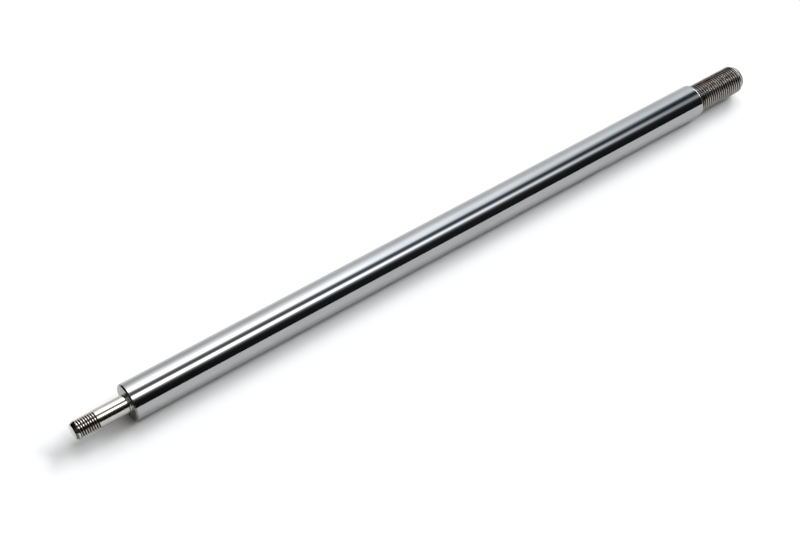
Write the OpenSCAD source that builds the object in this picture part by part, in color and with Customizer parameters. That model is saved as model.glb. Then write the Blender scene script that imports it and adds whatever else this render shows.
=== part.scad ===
// Damper piston rod: a hard-chromed round bar with a turned spigot at each end.
// The piston end (-X) has a ground seat followed by a fine thread for the piston nut.
// The mounting end (+X) has a larger fine thread that starts at its shoulder.
// The axis is X. The origin is on the axis, in the plane of the piston shoulder.

/* [Chromed bar] */
// Running diameter, measured over the chrome
bar_d = 12; // [11:0.5:25]
// Length from the piston shoulder to the mounting shoulder
bar_len = 228.6; // [60:0.1:600]
// Length of the lead-in chamfer at each end of the bar
chamfer_len = 0.5; // [0.3:0.05:1]
// How far that chamfer falls towards the axis
chamfer_drop = 0.3; // [0.2:0.05:0.45]
// Thickness of the hard-chrome layer
chrome_t = 0.1; // [0.06:0.01:0.15]

/* [Piston end] */
// Diameter of the ground seat that the piston slides onto
seat_d = 6; // [5:0.1:8]
// Length of the seat, from the shoulder to the thread
seat_len = 10; // [4:0.1:30]
// Length of the thread, from the seat to the end face
piston_thread_len = 7.7; // [5:0.1:20]
// Pitch of the thread for the piston nut
piston_pitch = 0.75; // [0.5, 0.75, 1]
// How far the thread's crests stand below the seat
crest_relief = 0.015; // [0.005:0.005:0.05]
// Length of the smooth lead-in taper at the tip
piston_tip_len = 1.2; // [0.6:0.05:2]
// How far the taper falls towards the axis
piston_tip_drop = 0.7; // [0.3:0.05:1]

/* [Mounting end] */
// Nominal diameter of the mounting thread
mount_d = 10; // [8:0.5:10]
// Length of the thread, from the shoulder to the end face
mount_thread_len = 21.5; // [8:0.5:50]
// Pitch of the mounting thread
mount_pitch = 1; // [0.75, 1, 1.25]
// Length of the smooth lead-in taper at the tip
mount_tip_len = 1.6; // [0.8:0.1:2.5]
// How far the taper falls towards the axis
mount_tip_drop = 0.8; // [0.3:0.1:1.2]

/* [Hidden] */

$fn = 96;
bar_r = bar_d / 2;
steel_r = bar_r - chrome_t;      // where the steel meets the chrome
seat_r = seat_d / 2;
piston_r = seat_r - crest_relief;
mount_r = mount_d / 2 - crest_relief;
steel_chamfer = chamfer_len * (1 - chrome_t / chamfer_drop); // the part of the chamfer that is steel

// 60 degree thread: crests an eighth of the pitch wide, grooves 0.6134 pitch deep
function crest_half(p) = p / 16;
function groove_half(p) = p / 2 - crest_half(p);
function groove_depth(p) = 0.6134 * p;
function root_half(p) = groove_half(p) - groove_depth(p) * tan(30);

// Half section [radius, height] of one groove centred at height z
function groove(r, z, p) = [
    [r, z - groove_half(p)],
    [r - groove_depth(p), z - root_half(p)],
    [r - groove_depth(p), z + root_half(p)],
    [r, z + groove_half(p)]
];

// Half section of a threaded end: whole grooves from z0 up to a smooth lead-in taper
function threaded_section(r, z0, len, p, tip_len, drop) =
    let (n = floor((len - tip_len - z0) / p))
    concat(
        [[0, 0], [r, 0]],
        [for (i = [0 : n - 1]) each groove(r, z0 + groove_half(p) + i * p, p)],
        [[r, len - tip_len], [r - drop, len], [0, len]]
    );

// A threaded end, standing on its root
module threaded_end(r, z0, len, p, tip_len, drop) {
    rotate_extrude() polygon(threaded_section(r, z0, len, p, tip_len, drop));
}

// Turns a shape built along +Z so that it points along X
module along_x(direction = 1) rotate([0, direction * 90, 0]) children();

// Steel bar with both spigots, turned from one piece
module rod_core() {
    color([0.56, 0.55, 0.53]) union() {
        // body under the chrome, with the steel part of each lead-in chamfer
        along_x() rotate_extrude() polygon([
            [0, 0],
            [bar_r - chamfer_drop, 0],
            [steel_r, steel_chamfer],
            [steel_r, bar_len - steel_chamfer],
            [bar_r - chamfer_drop, bar_len],
            [0, bar_len]
        ]);
        // piston seat, then its thread
        along_x(-1) cylinder(h = seat_len, r = seat_r);
        along_x(-1) threaded_end(piston_r, seat_len, seat_len + piston_thread_len,
                                 piston_pitch, piston_tip_len, piston_tip_drop);
        // mounting thread, straight from its shoulder
        translate([bar_len, 0, 0]) along_x()
            threaded_end(mount_r, crest_half(mount_pitch), mount_thread_len,
                         mount_pitch, mount_tip_len, mount_tip_drop);
    }
}

// Hard chrome over the full diameter, bevelled through by the lead-in chamfers
module hard_chrome_layer() {
    color([0.82, 0.84, 0.88]) along_x() rotate_extrude() polygon([
        [steel_r, steel_chamfer],
        [bar_r, chamfer_len],
        [bar_r, bar_len - chamfer_len],
        [steel_r, bar_len - steel_chamfer]
    ]);
}

rod_core();
hard_chrome_layer();
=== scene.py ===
"""Damper piston rod: the Blender meshes, materials, floor, light and camera.

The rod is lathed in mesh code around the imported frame, with true right-hand helical threads.
Everything is in metres in the row frame: X along the rod, the piston shoulder at x = 0.
"""

import math

import bpy
import numpy as np
from mathutils import Matrix, Vector


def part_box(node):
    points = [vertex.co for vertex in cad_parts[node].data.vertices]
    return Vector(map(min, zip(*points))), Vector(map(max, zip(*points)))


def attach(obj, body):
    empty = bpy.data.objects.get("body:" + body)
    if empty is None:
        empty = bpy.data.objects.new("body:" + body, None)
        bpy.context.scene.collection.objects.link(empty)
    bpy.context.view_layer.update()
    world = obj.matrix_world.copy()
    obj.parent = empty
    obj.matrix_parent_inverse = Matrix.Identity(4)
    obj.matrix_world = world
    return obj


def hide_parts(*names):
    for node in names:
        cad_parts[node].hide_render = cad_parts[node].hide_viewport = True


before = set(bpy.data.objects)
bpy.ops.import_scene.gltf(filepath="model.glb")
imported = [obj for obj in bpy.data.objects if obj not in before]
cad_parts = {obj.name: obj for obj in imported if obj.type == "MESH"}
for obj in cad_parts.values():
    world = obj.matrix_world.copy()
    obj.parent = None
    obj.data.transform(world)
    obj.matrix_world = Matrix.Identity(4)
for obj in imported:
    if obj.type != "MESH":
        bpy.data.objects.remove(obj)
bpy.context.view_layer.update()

# ---------------------------------------------------------------- sizes, in millimetres
core_low, core_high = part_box("rod_core")
chrome_low, chrome_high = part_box("hard_chrome_layer")
BAR_R = chrome_high.z * 1000
CHROME_T = 0.1
CHAMFER_LEN, CHAMFER_DROP = 0.5, 0.3
STEEL_CHAMFER = CHAMFER_LEN * (1 - CHROME_T / CHAMFER_DROP)
STEEL_R = BAR_R - CHROME_T
X_PISTON = chrome_low.x * 1000 - STEEL_CHAMFER
X_MOUNT = chrome_high.x * 1000 + STEEL_CHAMFER
X_TIP_L = core_low.x * 1000
X_TIP_R = core_high.x * 1000
FLOOR_Z = -BAR_R

SEAT_R, SEAT_LEN = 3.0, 10.0
PISTON_R, PISTON_PITCH = 2.985, 0.75
PISTON_TIP_LEN, PISTON_TIP_DROP = 1.2, 0.70
MOUNT_R, MOUNT_PITCH = 4.985, 1.0
MOUNT_TIP_LEN, MOUNT_TIP_DROP = 1.6, 0.8


# ---------------------------------------------------------------- lathed meshes
def mm(points):
    return (np.asarray(points, float) / 1000).tolist()


def smooth_step(a, b, x):
    t = np.clip((np.asarray(x, float) - a) / (b - a), 0, 1)
    return t * t * (3 - 2 * t)


def thread_profile():
    """(phase, depth) of one 60 degree thread in pitches, from crest centre to crest centre, with the crest's edges broken and the root rounded."""
    half = [
        (0.0, 0.0),
        (0.057, 0.0),
        (0.070, 0.0130),
        (0.1787, 0.2013),
        (0.2769, 0.3713),
        (0.375, 0.5412),
        (0.4278, 0.5941),
    ]
    return half + [(0.5, 0.6134)] + [(1 - u, d) for u, d in half[:0:-1]]


class Lathe:
    """Rows of points round the X axis, welded into one closed mesh at the end."""

    def __init__(self, columns):
        self.n = columns
        self.angle = np.arange(columns) * 2 * math.pi / columns
        self.points, self.faces, self.tags, self.count = [], [], [], 0

    def _add(self, x, r):
        """A block of rows: x and r are (rows, columns)."""
        y, z = r * np.cos(self.angle), r * np.sin(self.angle)
        self.points.append(np.stack([x, y, z], -1).reshape(-1, 3))
        start = self.count
        self.count += x.size
        return start

    def rows(self, outline, tag):
        """A plain turned surface through the (x, r) points of an outline."""
        o = np.asarray(outline, float)
        x = np.repeat(o[:, :1], self.n, 1)
        r = np.repeat(o[:, 1:], self.n, 1)
        start = self._add(x, r)
        j = np.arange(self.n)
        k = (j + 1) % self.n
        for i in range(len(o) - 1):
            a, b = start + i * self.n, start + (i + 1) * self.n
            self.faces.append(np.stack([a + j, a + k, b + k, b + j], 1))
            self.tags.append(np.full(self.n, tag))

    def cap(self, x, r, outward, tag):
        """The centre of an end face: a fan of triangles out to radius r."""
        ring = self._add(np.full((1, self.n), x), np.full((1, self.n), r))
        self.points.append(np.array([[x, 0.0, 0.0]]))
        centre = self.count
        self.count += 1
        j = np.arange(self.n)
        k = (j + 1) % self.n
        c = np.full(self.n, centre)
        order = [c, ring + j, ring + k] if outward > 0 else [c, ring + k, ring + j]
        self.faces.append(np.stack(order + [np.full(self.n, -1)], 1))
        self.tags.append(np.full(self.n, tag))

    def thread(self, x0, x1, pitch, major, envelope, fade, phase, tag):
        """A right-hand helical thread from x0 to x1. Its rows follow the helix, so the crests and roots are true edges; envelope(x) trims it to the taper and fade(x) runs it out."""
        profile = thread_profile()
        us = np.array([u for u, _ in profile])
        ds = np.array([d for _, d in profile])
        per = len(us)
        turns = int(math.ceil((x1 - x0) / pitch)) + 3
        first = math.floor((x0 - phase) / pitch) - 2
        row = np.arange(turns * per + per)
        along = first + row // per + us[row % per]
        lead = self.angle / (2 * math.pi)
        x = np.clip(phase + pitch * (along[:, None] + lead[None, :]), x0, x1)
        u = np.mod((x - phase) / pitch - lead[None, :], 1.0)
        depth = np.interp(u, np.append(us, 1.0), np.append(ds, 0.0)) * pitch
        r = np.minimum(major - depth * fade(x), envelope(x))
        start = self._add(x, r)
        rows = len(row)
        j = np.arange(self.n)
        k = (j + 1) % self.n
        shift = np.where(j == self.n - 1, per, 0)  # one turn on, at the seam
        for i in range(rows - 1):
            far = i + shift
            ok = far + 1 < rows
            a, b = start + i * self.n, start + (i + 1) * self.n
            c, d = start + far * self.n, start + (far + 1) * self.n
            quad = np.stack([a + j, c + k, d + k, b + j], 1)[ok]
            self.faces.append(quad)
            self.tags.append(np.full(len(quad), tag))

    def mesh(self, name, materials, sharp=32.0):
        points = np.concatenate(self.points)
        faces = np.concatenate(self.faces)
        tags = np.concatenate(self.tags)
        # weld by position, to a tenth of a micrometre
        key = np.round(points * 1e4).astype(np.int64)
        _, index, inverse = np.unique(key, axis=0, return_index=True, return_inverse=True)
        inverse = inverse.reshape(-1)
        points = points[index]
        loops, sizes, kept, seen = [], [], [], set()
        for f, t in zip(faces.tolist(), tags.tolist()):
            ids = [int(inverse[v]) for v in f if v >= 0]
            ids = [v for n, v in enumerate(ids) if v != ids[n - 1]]
            if len(set(ids)) < 3 or len(set(ids)) != len(ids):
                continue
            mark = tuple(sorted(ids))
            if mark in seen:
                continue
            seen.add(mark)
            loops.extend(ids)
            sizes.append(len(ids))
            kept.append(t)
        me = bpy.data.meshes.new(name)
        me.vertices.add(len(points))
        me.vertices.foreach_set("co", (points / 1000).astype(np.float32).ravel())
        me.loops.add(len(loops))
        me.loops.foreach_set("vertex_index", loops)
        me.polygons.add(len(sizes))
        me.polygons.foreach_set("loop_start", np.concatenate([[0], np.cumsum(sizes)[:-1]]))
        me.polygons.foreach_set("material_index", kept)
        for m in materials:
            me.materials.append(m)
        me.update(calc_edges=True)
        me.validate()
        me.polygons.foreach_set("use_smooth", [True] * len(me.polygons))
        me.set_sharp_from_angle(angle=math.radians(sharp))
        ob = bpy.data.objects.new(name, me)
        bpy.context.scene.collection.objects.link(ob)
        return ob


# ---------------------------------------------------------------- material helpers
class Nodes:
    """A short way to write shader nodes."""

    def __init__(self, name):
        self.mat = bpy.data.materials.new(name)
        self.mat.use_nodes = True
        self.t = self.mat.node_tree
        self.t.nodes.clear()
        self.out = self.t.nodes.new("ShaderNodeOutputMaterial")
        self.bsdf = self.t.nodes.new("ShaderNodeBsdfPrincipled")
        self.t.links.new(self.bsdf.outputs[0], self.out.inputs[0])
        self.coords = self.t.nodes.new("ShaderNodeTexCoord").outputs["Object"]
        s = self.t.nodes.new("ShaderNodeSeparateXYZ")
        self.t.links.new(self.coords, s.inputs[0])
        self.x, self.y, self.z = s.outputs
        self.radius = self.math("SQRT", self.math("ADD", self.math("MULTIPLY", self.y, self.y), self.math("MULTIPLY", self.z, self.z)))

    def put(self, value, socket):
        if isinstance(value, bpy.types.NodeSocket):
            self.t.links.new(value, socket)
        elif value is not None:
            socket.default_value = value

    def math(self, op, a, b=None, c=None, clamp=False):
        m = self.t.nodes.new("ShaderNodeMath")
        m.operation = op
        m.use_clamp = clamp
        for v, s in zip((a, b, c), m.inputs):
            self.put(v, s)
        return m.outputs[0]

    def ramp(self, value, a, b, low=0.0, high=1.0, smooth=True):
        """value from a..b mapped to low..high."""
        m = self.t.nodes.new("ShaderNodeMapRange")
        m.interpolation_type = "SMOOTHSTEP" if smooth else "LINEAR"
        m.clamp = True if not smooth else m.clamp
        for v, s in zip((value, a, b, low, high), m.inputs):
            self.put(v, s)
        return m.outputs[0]

    def noise(self, scale, detail=3.0, rough=0.5, size=1.0, distortion=0.0):
        """Noise with its own scale on each axis, in cycles per metre."""
        m = self.t.nodes.new("ShaderNodeMapping")
        m.inputs["Scale"].default_value = scale
        self.t.links.new(self.coords, m.inputs[0])
        n = self.t.nodes.new("ShaderNodeTexNoise")
        self.t.links.new(m.outputs[0], n.inputs["Vector"])
        n.inputs["Scale"].default_value = size
        n.inputs["Detail"].default_value = detail
        n.inputs["Roughness"].default_value = rough
        n.inputs["Distortion"].default_value = distortion
        return n.outputs["Fac"]

    def mix(self, fac, a, b):
        m = self.t.nodes.new("ShaderNodeMix")
        m.data_type = "RGBA"
        self.put(fac, m.inputs["Factor"])
        self.put(a, m.inputs[6])
        self.put(b, m.inputs[7])
        return m.outputs[2]

    def bump(self, height, strength, distance):
        b = self.t.nodes.new("ShaderNodeBump")
        b.inputs["Strength"].default_value = strength
        b.inputs["Distance"].default_value = distance
        self.t.links.new(height, b.inputs["Height"])
        self.t.links.new(b.outputs[0], self.bsdf.inputs["Normal"])

    def rings(self, across):
        """Turning rings on a face square to the axis: noise by radius only."""
        c = self.t.nodes.new("ShaderNodeCombineXYZ")
        self.put(self.math("MULTIPLY", self.radius, across), c.inputs[0])
        n = self.t.nodes.new("ShaderNodeTexNoise")
        self.t.links.new(c.outputs[0], n.inputs["Vector"])
        n.inputs["Scale"].default_value = 1.0
        n.inputs["Detail"].default_value = 4.0
        return n.outputs["Fac"]


def rgb(r, g, b):
    return (r, g, b, 1.0)


def chrome_material():
    m = Nodes("hard_chrome")
    # polishing lines round the bar, faint lines drawn along it by a seal, and a slow mottle
    polish = m.noise((9000, 60, 60), 3, 0.6)
    drawn = m.noise((14, 5200, 5200), 3, 0.6)
    cloud = m.noise((60, 220, 220), 3, 0.55)
    tone = m.ramp(cloud, 0.3, 0.7, 0.0, 1.0)
    colour = m.mix(tone, rgb(0.365, 0.367, 0.372), rgb(0.392, 0.394, 0.399))
    m.put(colour, m.bsdf.inputs["Base Color"])
    m.bsdf.inputs["Metallic"].default_value = 1.0
    rough = m.math("ADD", m.ramp(polish, 0.3, 0.75, 0.035, 0.075), m.ramp(drawn, 0.45, 0.8, 0.0, 0.035))
    rough = m.math("ADD", rough, m.ramp(cloud, 0.4, 0.75, 0.0, 0.02))
    m.put(rough, m.bsdf.inputs["Roughness"])
    height = m.math("ADD", m.math("MULTIPLY", polish, 0.7), m.math("MULTIPLY", drawn, 0.3))
    m.bump(height, 0.10, 0.000004)
    return m.mat


def steel_material(name, light, dark, rough_low, rough_high, bump, across=7000, stain=None, groove=None, face=False):
    """Turned or ground steel: rings round the axis, tone changes, painted shade down in the thread grooves and an oil
    or rust stain.
    """
    m = Nodes(name)
    if face:
        marks = m.rings(across)
    else:
        marks = m.noise((across, 80, 80), 4, 0.6)
    cloud = m.noise((350, 350, 350), 4, 0.6)
    grain = m.noise((5200, 5200, 5200), 2, 0.5)
    tone = m.math("ADD", m.math("MULTIPLY", marks, 0.55), m.math("MULTIPLY", cloud, 0.45))
    colour = m.mix(m.ramp(tone, 0.35, 0.65), dark, light)
    if groove is not None:  # painted shade: the colour goes darker down in the thread roots, towards the given dark tint
        root, crest, tint = groove
        painted_groove_shade = m.ramp(m.radius, root / 1000, crest / 1000, 1.0, 0.0)
        colour = m.mix(painted_groove_shade, colour, tint)
    if stain is not None:
        centre, reach, tint = stain
        away = m.t.nodes.new("ShaderNodeVectorMath")
        away.operation = "DISTANCE"
        m.put(m.coords, away.inputs[0])
        away.inputs[1].default_value = centre
        ragged = m.math("ADD", away.outputs["Value"], m.math("MULTIPLY", m.math("SUBTRACT", m.noise((900, 900, 900), 5, 0.65), 0.5), reach * 1.6))
        colour = m.mix(m.ramp(ragged, reach * 0.2, reach, 0.85, 0.0), colour, tint)
        film = m.ramp(m.noise((260, 260, 260), 4, 0.6), 0.5, 0.72, 0.0, 0.35)
        colour = m.mix(film, colour, rgb(0.17, 0.13, 0.085))
    m.put(colour, m.bsdf.inputs["Base Color"])
    m.bsdf.inputs["Metallic"].default_value = 1.0
    m.put(m.math("ADD", m.ramp(marks, 0.3, 0.7, rough_low, rough_high), m.ramp(grain, 0.4, 0.8, 0.0, 0.05)), m.bsdf.inputs["Roughness"])
    m.bump(m.math("ADD", m.math("MULTIPLY", marks, 0.8), m.math("MULTIPLY", grain, 0.2)), bump, 0.00001)
    return m.mat


# ---------------------------------------------------------------- the steel core
GROUND, FACED, THREAD_P, THREAD_M, END_FACE, HIDDEN, MOUNT_SHOULDER_SHADED = range(7)
steel = [
    steel_material("ground_seat_steel", rgb(0.56, 0.545, 0.51), rgb(0.48, 0.465, 0.435), 0.08, 0.15, 0.18),
    steel_material("faced_shoulder_steel", rgb(0.24, 0.243, 0.215), rgb(0.18, 0.182, 0.16), 0.11, 0.18, 0.3, face=True),
    # the groove argument of the two thread steels paints shade down in the thread roots
    steel_material("piston_thread_steel", rgb(0.64, 0.62, 0.58), rgb(0.54, 0.52, 0.485), 0.08, 0.15, 0.12, groove=(2.60, 2.97, rgb(0.12, 0.105, 0.09))),
    steel_material("mounting_thread_steel", rgb(0.42, 0.402, 0.38), rgb(0.32, 0.305, 0.285), 0.15, 0.23, 0.2, stain=((0.2362, 0.0010, 0.0049), 0.0021, rgb(0.30, 0.13, 0.07)), groove=(4.45, 4.97, rgb(0.055, 0.048, 0.043))),
    steel_material("end_face_steel", rgb(0.74, 0.73, 0.71), rgb(0.60, 0.59, 0.57), 0.22, 0.34, 0.4, across=5000, face=True),
    steel_material("steel_under_chrome", rgb(0.45, 0.44, 0.42), rgb(0.40, 0.39, 0.37), 0.30, 0.40, 0.2),
    # the mounting shoulder: a darker copy of the faced shoulder steel, painted shade
    steel_material("mounting_shoulder_steel_painted_shade", rgb(0.11, 0.105, 0.10), rgb(0.075, 0.071, 0.067), 0.20, 0.30, 0.3, face=True),
]

lathe = Lathe(144)
tip_slope = PISTON_TIP_DROP / PISTON_TIP_LEN
tip_r = PISTON_R - PISTON_TIP_DROP
x_seat = X_PISTON - SEAT_LEN

# piston end face, with its edge broken
lathe.cap(X_TIP_L, 0.35, -1, END_FACE)
lathe.rows([(X_TIP_L, r) for r in (0.35, 0.8, 1.25, 1.7, tip_r - 0.12, tip_r - 0.07)], END_FACE)
lathe.rows([(X_TIP_L, tip_r - 0.07), (X_TIP_L + 0.018, tip_r - 0.02), (X_TIP_L + 0.07, tip_r + 0.07 * tip_slope)], END_FACE)
# smooth lead-in taper
x_taper = X_TIP_L + PISTON_TIP_LEN
lathe.rows(
    [(x, tip_r + (x - X_TIP_L) * tip_slope) for x in (X_TIP_L + 0.07, X_TIP_L + 0.12, X_TIP_L + 0.35, X_TIP_L + 0.6, X_TIP_L + 0.85, x_taper - 0.06)]
    + [(x_taper + 0.02, PISTON_R - 0.012), (x_taper + 0.07, PISTON_R)],
    THREAD_P,
)
# piston thread: the last groove lies right against the seat
lathe.thread(
    x_taper + 0.07,
    x_seat,
    PISTON_PITCH,
    PISTON_R,
    lambda x: np.full_like(x, PISTON_R),
    lambda x: smooth_step(x_seat, x_seat - 0.22 * PISTON_PITCH, x) * smooth_step(x_taper + 0.07, x_taper + 0.35 * PISTON_PITCH, x),
    x_seat - 1.05,
    THREAD_P,
)
# ground seat, with a small corner radius at the shoulder
corner = 0.12
arc = [(-corner * (1 - math.sin(a)), corner * (1 - math.cos(a))) for a in np.linspace(0, math.pi / 2, 6)]
lathe.rows([(x_seat, PISTON_R), (x_seat + 0.012, SEAT_R - 0.004), (x_seat + 0.03, SEAT_R), (x_seat + 0.06, SEAT_R)], GROUND)
lathe.rows(
    [(x, SEAT_R) for x in [x_seat + 0.06] + list(np.linspace(x_seat + 0.8, X_PISTON - 0.8, 12)) + [X_PISTON - 0.2]]
    + [(X_PISTON + a, SEAT_R + b) for a, b in arc],
    GROUND,
)
# piston shoulder and the steel part of its chamfer
face_r = BAR_R - CHAMFER_DROP
fall = CHAMFER_DROP / CHAMFER_LEN
lathe.rows([(X_PISTON, r) for r in (SEAT_R + corner, SEAT_R + 0.2, 3.7, 4.3, 4.9, face_r - 0.1, face_r - 0.03)], FACED)
lathe.rows([(X_PISTON, face_r - 0.03), (X_PISTON + 0.012, face_r - 0.006), (X_PISTON + 0.05, face_r + 0.05 * fall)], FACED)
lathe.rows([(X_PISTON + 0.05, face_r + 0.05 * fall), (X_PISTON + 0.09, face_r + 0.09 * fall), (X_PISTON + STEEL_CHAMFER, STEEL_R), (X_PISTON + CHAMFER_LEN + 0.1, STEEL_R - 0.003)], FACED)
# steel under the chrome
lathe.rows([(x, STEEL_R - 0.003) for x in [X_PISTON + CHAMFER_LEN + 0.1] + list(np.linspace(X_PISTON + 6, X_MOUNT - 6, 12)) + [X_MOUNT - CHAMFER_LEN - 0.1]], HIDDEN)
# mounting shoulder, in a darker copy of the faced shoulder steel: painted shade
lathe.rows([(X_MOUNT - CHAMFER_LEN - 0.1, STEEL_R - 0.003), (X_MOUNT - STEEL_CHAMFER, STEEL_R), (X_MOUNT - 0.09, face_r + 0.09 * fall), (X_MOUNT - 0.05, face_r + 0.05 * fall)], MOUNT_SHOULDER_SHADED)
lathe.rows([(X_MOUNT - 0.05, face_r + 0.05 * fall), (X_MOUNT - 0.012, face_r - 0.006), (X_MOUNT, face_r - 0.03)], MOUNT_SHOULDER_SHADED)
neck = 0.10
arc = [(neck * (1 - math.cos(a)), neck * (1 - math.sin(a))) for a in np.linspace(0, math.pi / 2, 5)]
lathe.rows([(X_MOUNT, face_r - 0.03), (X_MOUNT, face_r - 0.1), (X_MOUNT, 5.35)] + [(X_MOUNT + a, MOUNT_R + b) for a, b in arc], MOUNT_SHOULDER_SHADED)
# mounting thread, from its shoulder to a smooth lead-in taper
slope_m = MOUNT_TIP_DROP / MOUNT_TIP_LEN
tip_m = MOUNT_R - MOUNT_TIP_DROP
x_taper = X_TIP_R - MOUNT_TIP_LEN
lathe.thread(
    X_MOUNT + neck,
    x_taper - 0.07,
    MOUNT_PITCH,
    MOUNT_R,
    lambda x: np.full_like(x, MOUNT_R),
    lambda x: smooth_step(X_MOUNT + neck, X_MOUNT + neck + 0.4 * MOUNT_PITCH, x) * smooth_step(x_taper - 0.07, x_taper - 0.4 * MOUNT_PITCH, x),
    X_MOUNT + 1.0,
    THREAD_M,
)
lathe.rows(
    [(x_taper - 0.07, MOUNT_R), (x_taper - 0.02, MOUNT_R - 0.008)]
    + [(x, tip_m + (X_TIP_R - x) * slope_m) for x in (x_taper + 0.07, x_taper + 0.4, x_taper + 0.8, x_taper + 1.2, X_TIP_R - 0.16, X_TIP_R - 0.10)],
    THREAD_M,
)
# mounting end face
lathe.rows([(X_TIP_R - 0.10, tip_m + 0.10 * slope_m), (X_TIP_R - 0.025, tip_m - 0.03), (X_TIP_R, tip_m - 0.10)], END_FACE)
lathe.rows([(X_TIP_R, r) for r in (tip_m - 0.10, tip_m - 0.2, 3.2, 2.4, 1.6, 0.8, 0.35)], END_FACE)
lathe.cap(X_TIP_R, 0.35, 1, END_FACE)

rod = lathe.mesh("turned_rod_core", steel)
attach(rod, "root")
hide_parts("rod_core")

# ---------------------------------------------------------------- the chrome layer
plate = Lathe(256)
xa, xb = X_PISTON + CHAMFER_LEN, X_MOUNT - CHAMFER_LEN
lip = CHAMFER_LEN - STEEL_CHAMFER
edge = [(-lip, STEEL_R), (-0.12, BAR_R - 0.12 * fall), (-0.05, BAR_R - 0.031), (-0.01, BAR_R - 0.010), (0.04, BAR_R - 0.002), (0.09, BAR_R), (0.14, BAR_R), (0.3, BAR_R)]
outline = [(xa + a, r) for a, r in edge]
outline += [(x, BAR_R) for x in np.linspace(xa + 3, xb - 3, 40)]
outline += [(xb - a, r) for a, r in edge[::-1]]
inner = [(x, STEEL_R) for x in np.linspace(xb + lip, xa - lip, 12)]
# the first and last rows, the chamfer lips, take the near-black lip material: painted shade
plate.rows(outline[:4], 1)
plate.rows(outline[3:-3], 0)
plate.rows(outline[-4:], 1)
plate.rows(inner, 0)
# the chrome's chamfer lips: a near-black steel instead of chrome, painted shade
chrome_lip_shade = steel_material("chrome_lip_painted_shade", rgb(0.13, 0.13, 0.13), rgb(0.09, 0.09, 0.09), 0.22, 0.32, 0.3)
chrome = plate.mesh("hard_chrome_plating", [chrome_material(), chrome_lip_shade])
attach(chrome, "root")
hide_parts("hard_chrome_layer")


# ---------------------------------------------------------------- floor
def pale_floor():
    me = bpy.data.meshes.new("floor")
    s = 3.0
    me.from_pydata([(-s, -s, FLOOR_Z / 1000), (s, -s, FLOOR_Z / 1000), (s, s, FLOOR_Z / 1000), (-s, s, FLOOR_Z / 1000)], [], [(0, 1, 2, 3)])
    ob = bpy.data.objects.new("floor", me)
    bpy.context.scene.collection.objects.link(ob)
    mat = bpy.data.materials.new("pale_floor")
    mat.use_nodes = True
    b = mat.node_tree.nodes["Principled BSDF"]
    b.inputs["Base Color"].default_value = rgb(0.90, 0.90, 0.90)
    b.inputs["Roughness"].default_value = 0.85
    b.inputs["Specular IOR Level"].default_value = 0.2
    me.materials.append(mat)
    return ob


pale_floor()

# ---------------------------------------------------------------- soft studio light
# The studio is a ring of panels parallel to the rod, told apart by their angle round the rod's axis: 0 is +Y, 90 is up, 180 is -Y.
# Each row is (angle, brightness, blueness). The three rings stand for how far along +X the panel lies: its direction's X is 0.23, 0.42 or 0.60.
PANELS = [
    (0.23, [(-6, 0.86, 0), (20, 0.82, 0), (34, 1.2, 0), (48, 2.0, 0), (57, 2.7, 0), (63, 5.5, 0), (74, 5.5, 0), (80, 1.9, 0), (86, 0.6, 0), (91, 0.18, 0), (100, 0.18, 0), (106, 0.9, 0), (111.5, 5.5, 0), (120, 5.5, 0), (126, 1.6, 0), (131, 0.4, 0), (138, 0.06, 0), (150, 0.012, 0), (183, 0.012, 0)]),
    (0.42, [(-6, 1.0, 0.02), (16, 1.0, 0.03), (34, 1.25, 0.04), (50, 1.95, 0.06), (66, 2.15, 0.08), (80, 1.9, 0.10), (88, 0.4, 0.25), (93, 0.13, 0.30), (104, 0.16, 0.30), (109, 0.8, 0.15), (114, 2.6, 0.08), (122, 2.6, 0.06), (130, 0.4, 0.06), (140, 0.05, 0.1), (150, 0.02, 0.1), (183, 0.02, 0)]),
    (0.60, [(-6, 0.95, 0.02), (12, 1.0, 0.04), (32, 1.15, 0.06), (50, 1.36, 0.08), (66, 1.35, 0.10), (74, 0.5, 0.15), (82, 0.07, 0.30), (95, 0.035, 0.35), (102, 0.08, 0.2), (109, 0.5, 0.15), (122, 0.66, 0.12), (131, 0.10, 0.1), (140, 0.025, 0.1), (150, 0.018, 0), (183, 0.014, 0)]),
]
PEAK = 6.0
OVERHEAD = 0.95
BEYOND = 0.35
SIDE_BOX = 17.5  # a softbox high over the mounting end, which the rod doesn't mirror at the photo's angle


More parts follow.
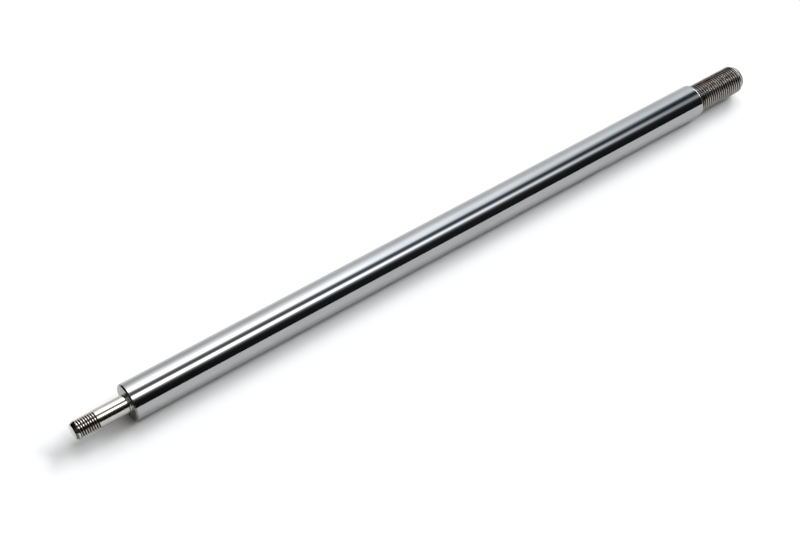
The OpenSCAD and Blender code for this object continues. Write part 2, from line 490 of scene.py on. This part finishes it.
def studio():
    world = bpy.data.worlds.new("studio")
    bpy.context.scene.world = world
    world.use_nodes = True
    t = world.node_tree
    t.nodes.clear()

    def put(v, socket):
        if isinstance(v, bpy.types.NodeSocket):
            t.links.new(v, socket)
        else:
            socket.default_value = v

    def span(value, a, b, low=0.0, high=1.0, smooth=False):
        m = t.nodes.new("ShaderNodeMapRange")
        if smooth:
            m.interpolation_type = "SMOOTHSTEP"
        for v, sock in zip((value, a, b, low, high), m.inputs):
            put(v, sock)
        return m.outputs[0]

    def math2(op, a, b):
        m = t.nodes.new("ShaderNodeMath")
        m.operation = op
        put(a, m.inputs[0])
        put(b, m.inputs[1])
        return m.outputs[0]

    def mix(fac, a, b):
        m = t.nodes.new("ShaderNodeMix")
        m.data_type = "RGBA"
        put(fac, m.inputs["Factor"])
        put(a, m.inputs[6])
        put(b, m.inputs[7])
        return m.outputs[2]

    sep = t.nodes.new("ShaderNodeSeparateXYZ")
    put(t.nodes.new("ShaderNodeTexCoord").outputs["Generated"], sep.inputs[0])
    dx, dy, dz = sep.outputs
    around = math2("ARCTAN2", dz, dy)
    share = span(around, math.radians(-10), math.radians(185))

    def panels(stops):
        r = t.nodes.new("ShaderNodeValToRGB")
        r.color_ramp.interpolation = "LINEAR"
        e = r.color_ramp.elements
        while len(e) < len(stops):
            e.new(0.5)
        for el, (deg, v, blue) in zip(e, stops):
            el.position = (deg + 10) / 195
        for el, (deg, v, blue) in zip(e, stops):
            el.color = rgb(v / PEAK * (1 - blue / 2), v / PEAK, v / PEAK * (1 + blue / 2))
        put(share, r.inputs[0])
        return r.outputs[0]

    (x0, near), (x1, middle), (x2, far) = PANELS
    ring = mix(span(dx, x0, x1), panels(near), mix(span(dx, x1, x2), panels(middle), panels(far)))
    # these panels stop short of the piston end, so its tapers mirror a dark studio
    ring = mix(span(dx, 0.06, 0.16, smooth=True), rgb(0.0025, 0.0025, 0.0025), ring)
    light = t.nodes.new("ShaderNodeBackground")
    light.inputs[1].default_value = PEAK
    put(ring, light.inputs[0])
    # softbox high over the mounting end
    inside = math2("MULTIPLY", span(dx, 0.66, 0.72, smooth=True), span(dx, 0.82, 0.88, 1.0, 0.0, smooth=True))
    inside = math2("MULTIPLY", inside, math2("MULTIPLY", span(around, math.radians(45), math.radians(58), smooth=True), span(around, math.radians(122), math.radians(135), 1.0, 0.0, smooth=True)))
    # soft panel straight overhead, which fills the shadows and lights the rod for other views
    over = math2("MULTIPLY", span(dx, -0.30, -0.22, smooth=True), span(dx, 0.0, 0.08, 1.0, 0.0, smooth=True))
    over = math2("MULTIPLY", over, math2("MULTIPLY", span(around, math.radians(58), math.radians(72), smooth=True), span(around, math.radians(122), math.radians(136), 1.0, 0.0, smooth=True)))
    # dim panel beyond the piston end, which only views along the rod mirror
    beyond = math2("MULTIPLY", span(dx, -0.82, -0.70, 1.0, 0.0, smooth=True), math2("MULTIPLY", span(around, math.radians(12), math.radians(35), smooth=True), span(around, math.radians(150), math.radians(172), 1.0, 0.0, smooth=True)))
    box = t.nodes.new("ShaderNodeBackground")
    strength = math2("ADD", math2("MULTIPLY", inside, SIDE_BOX), math2("MULTIPLY", over, OVERHEAD))
    put(math2("ADD", strength, math2("MULTIPLY", beyond, BEYOND)), box.inputs[1])
    both = t.nodes.new("ShaderNodeAddShader")
    put(light.outputs[0], both.inputs[0])
    put(box.outputs[0], both.inputs[1])
    # the camera itself sees a plain pale backdrop
    plain = t.nodes.new("ShaderNodeBackground")
    plain.inputs[0].default_value = rgb(0.95, 0.95, 0.95)
    choose = t.nodes.new("ShaderNodeMixShader")
    put(t.nodes.new("ShaderNodeLightPath").outputs["Is Camera Ray"], choose.inputs[0])
    put(both.outputs[0], choose.inputs[1])
    put(plain.outputs[0], choose.inputs[2])
    put(choose.outputs[0], t.nodes.new("ShaderNodeOutputWorld").inputs[0])


studio()

# ---------------------------------------------------------------- camera
# 46.29 degrees above the horizon, 36.68 degrees round from square on, level, 66 mm lens on a 36 mm sensor
PITCH, TURN, LENS = math.radians(46.291), math.radians(36.675), 66.065
right = Vector((math.cos(TURN), -math.sin(TURN), 0))
ahead = Vector((math.sin(TURN), math.cos(TURN), 0))
forward = ahead * math.cos(PITCH) - Vector((0, 0, 1)) * math.sin(PITCH)
up = ahead * math.sin(PITCH) + Vector((0, 0, 1)) * math.cos(PITCH)
data = bpy.data.cameras.new("camera")
data.sensor_width = 36.0
data.lens = LENS
data.clip_start, data.clip_end = 0.02, 20.0
camera = bpy.data.objects.new("camera", data)
bpy.context.scene.collection.objects.link(camera)
m = Matrix((right, up, -forward)).transposed().to_4x4()
m.translation = Vector((-0.09546, -0.26168, 0.33660)) - right * 0.00015 + up * 0.00015
camera.matrix_world = m
bpy.context.scene.camera = camera
bpy.context.scene.view_settings.view_transform = "Standard"

# ---------------------------------------------------------------- the last line
bpy.context.view_layer.update()
